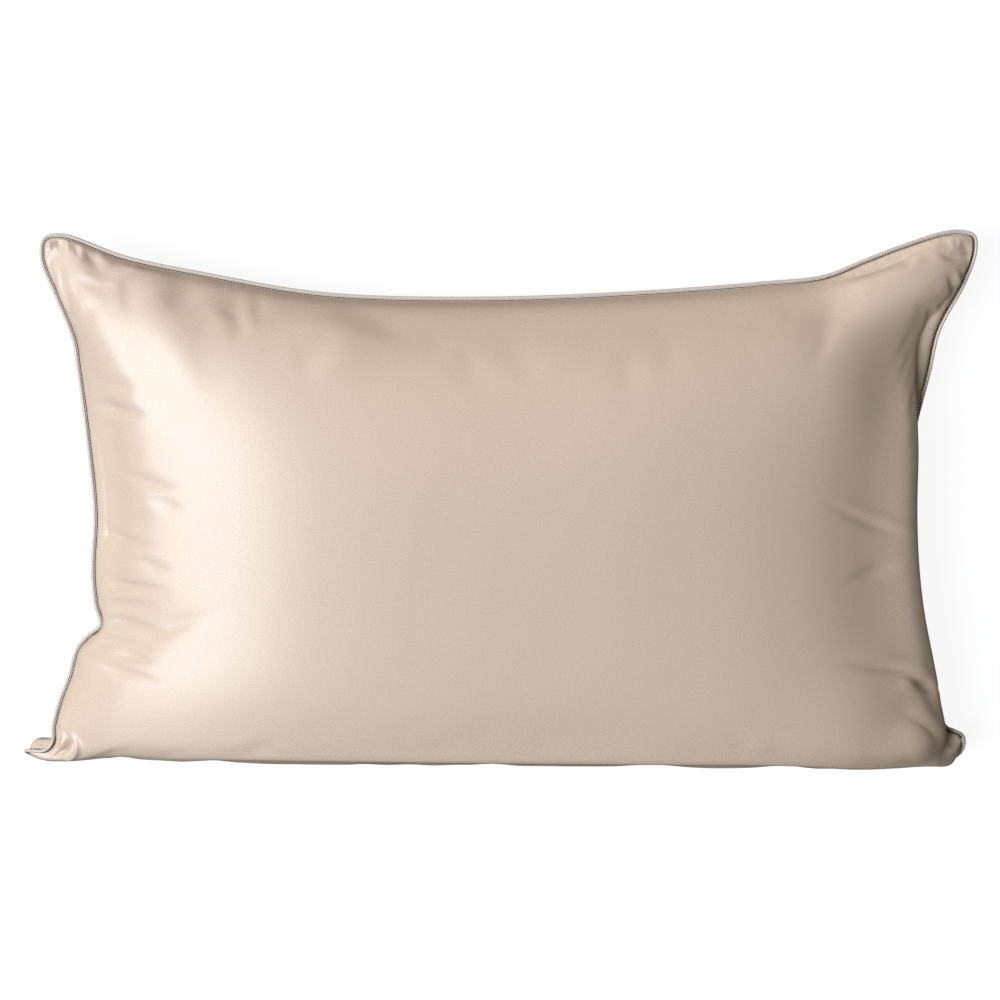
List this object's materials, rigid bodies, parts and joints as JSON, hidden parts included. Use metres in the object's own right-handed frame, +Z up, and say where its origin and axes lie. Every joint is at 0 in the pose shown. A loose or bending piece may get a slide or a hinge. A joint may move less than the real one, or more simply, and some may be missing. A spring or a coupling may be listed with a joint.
{
  "type": "pillowcase",
  "caption": "satin pillowcase filled by its pillow, with thin self piping round the seam, drawn-in sides and pointed corners",
  "frame": {"origin": "on the surface it lies on, under the middle of its box", "axes": "+X along its length, +Y towards its upper long side, +Z up out of its front face; it lies on its back"},
  "size_m": [0.921, 0.5294, 0.1898],
  "materials": {
    "satin": "smooth silk satin in champagne beige, with a soft broad sheen",
    "piping_satin": "the same satin cut on the bias and wrapped round a thin cord"
  },
  "bodies": {
    "root": {"pillow_body": "satin", "piping": "piping_satin"}
  },
  "joints": []
}
